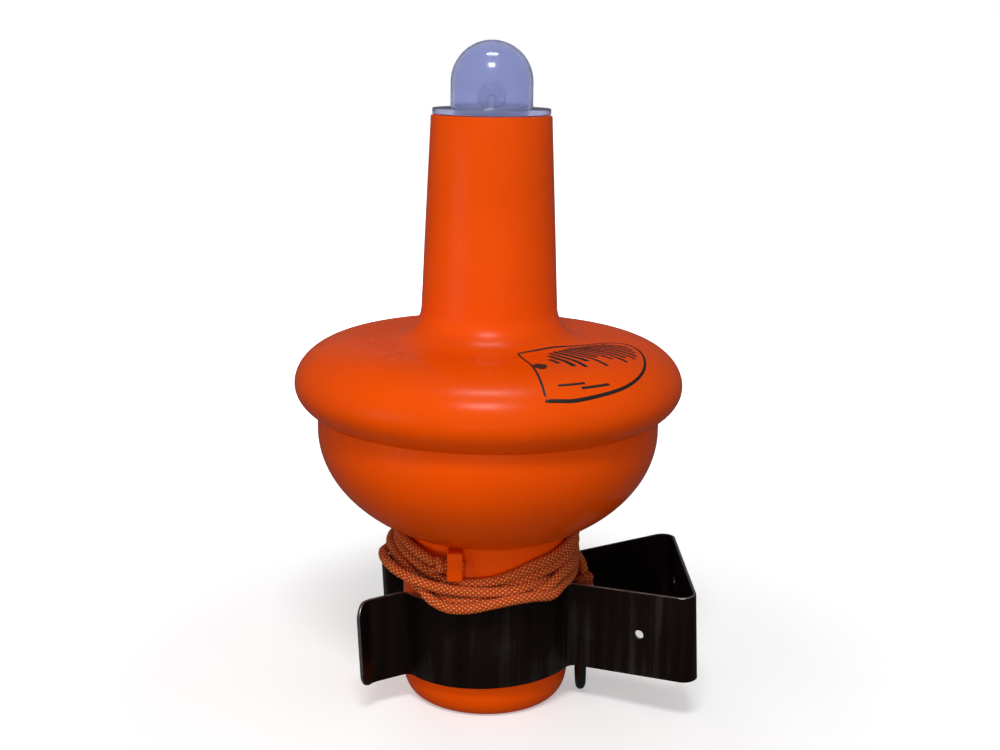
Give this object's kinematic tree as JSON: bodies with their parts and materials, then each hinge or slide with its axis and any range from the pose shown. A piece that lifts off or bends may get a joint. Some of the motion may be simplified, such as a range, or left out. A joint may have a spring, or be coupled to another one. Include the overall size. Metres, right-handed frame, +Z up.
{
  "type": "lifebuoy light",
  "caption": "Self-igniting lifebuoy light: lens dome on a tapered neck, disc float, battery case with wound lanyard, held in a spring-clip wall bracket.",
  "frame": {"origin": "centre of the battery case's flat base, on the light's axis", "axes": "+Z up along the light's axis to the lens, +X towards the bracket's wall plate, -Y to the lanyard's lug"},
  "size_m": [0.1831, 0.1754, 0.3],
  "materials": {
    "orange_plastic": "satin, lightly orange-peeled moulding",
    "clear_lens": "clear with a faint blue tint",
    "rubber": "black",
    "pale_plastic": "natural white",
    "foam": "closed-cell buoyancy foam",
    "deck_board": "laminate",
    "stainless": "satin stainless steel",
    "bright_metal": "polished",
    "brass": "plain",
    "red_wire": "wire insulation",
    "black_wire": "wire insulation",
    "spring_steel": "blackened spring steel with bright sheared edges",
    "orange_cord": "braided, orange with pale flecks",
    "battery_jacket": "plain dark cell jacket"
  },
  "bodies": {
    "bracket": {"bracket_strip": "spring_steel"},
    "case": {"battery_case": "orange_plastic", "battery_cradle": "pale_plastic", "battery_1": "battery_jacket", "battery_2": "battery_jacket", "battery_3": "battery_jacket", "battery_4": "battery_jacket", "bottom_strap": "stainless", "cord_winding": "orange_cord", "cord_knot": "orange_cord", "cord_front_loop": "orange_cord", "cord_tail": "orange_cord", "hook_body": "stainless", "hook_pin": "stainless"},
    "gate": {"hook_gate": "stainless"},
    "case_ring": {"case_seal": "rubber"},
    "float": {"lower_float_shell": "orange_plastic", "upper_float_shell": "orange_plastic", "float_foam": "foam", "contact_deck": "deck_board", "deck_screw_1": "stainless", "deck_screw_2": "stainless", "deck_screw_3": "stainless", "contact_spring_left": "stainless", "contact_spring_right": "stainless", "switch_tube": "pale_plastic", "switch_cap": "brass", "supply_wire": "red_wire", "return_wire": "black_wire", "lamp_holder": "pale_plastic", "reflector": "bright_metal", "bulb_cap": "brass", "bulb_glass": "clear_lens", "bulb_filament": "stainless"},
    "ball": {"switch_ball": "stainless"},
    "lens_ring": {"lens_seal": "rubber"},
    "lens": {"lens_dome": "clear_lens"}
  },
  "joints": [
    {"name": "light_lift", "type": "slide", "parent": "bracket", "child": "case", "axis": [0, 0, 1], "range_m": [0, 0.12]},
    {"name": "gate_swing", "type": "hinge", "parent": "case", "child": "gate", "pos_m": [0.0452, -0.0098, 0.034], "axis": [1, 0, 0], "range_deg": [0, 25], "stiffness_Nm_per_rad": 0.03, "springref_deg": -11.46},
    {"name": "float_rise", "type": "slide", "parent": "case", "child": "case_ring", "axis": [0, 0, 1], "range_m": [0, 0.00905]},
    {"name": "float_turn", "type": "hinge", "parent": "case_ring", "child": "float", "pos_m": [0, 0, 0.1], "axis": [0, 0, 1], "range_deg": [0, 1080]},
    {"name": "ball_roll", "type": "slide", "parent": "float", "child": "ball", "axis": [0, 0, 1], "range_m": [0, 0.02]},
    {"name": "lens_rise", "type": "slide", "parent": "float", "child": "lens_ring", "axis": [0, 0, 1], "range_m": [0, 0.00905]},
    {"name": "lens_turn", "type": "hinge", "parent": "lens_ring", "child": "lens", "pos_m": [0, 0, 0.27], "axis": [0, 0, 1], "range_deg": [0, 1080]}
  ],
  "couplings": [
    {"joint": "float_rise", "follows": "float_turn", "m_per_rad": 0.00047746},
    {"joint": "lens_rise", "follows": "lens_turn", "m_per_rad": 0.00047746}
  ]
}
